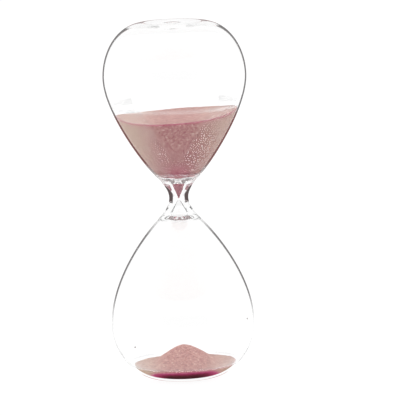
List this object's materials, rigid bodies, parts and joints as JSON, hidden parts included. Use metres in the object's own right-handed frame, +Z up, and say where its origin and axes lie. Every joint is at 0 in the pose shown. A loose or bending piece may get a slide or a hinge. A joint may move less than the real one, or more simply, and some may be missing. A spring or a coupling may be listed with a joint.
{
  "type": "hourglass",
  "caption": "Frameless glass sand timer: two blown bulbs joined by a narrow thick-walled neck, flat sealed ends, dyed sand partly run through.",
  "frame": {"origin": "centre of the flat lower end, in the plane it stands on", "axes": "+Z up along the glass's axis, +X to the side towards which both sand surfaces rise"},
  "size_m": [0.08, 0.08, 0.2],
  "materials": {
    "glass": "polished",
    "sand": "matte"
  },
  "bodies": {
    "glass": {"upper_bulb": "glass", "lower_bulb": "glass", "neck": "glass", "upper_end_seal": "glass", "lower_end_seal": "glass", "clinging_grains": "sand"},
    "upper_sand_body": {"upper_sand": "sand", "throat_sand": "sand"},
    "lower_sand_body": {"lower_sand": "sand"}
  },
  "joints": [
    {"name": "upper_sand_fall", "type": "slide", "parent": "glass", "child": "upper_sand_body", "axis": [0, 0, 1], "range_m": [0, 0.036]},
    {"name": "lower_sand_fall", "type": "slide", "parent": "glass", "child": "lower_sand_body", "axis": [0, 0, 1], "range_m": [0, 0.053]}
  ]
}
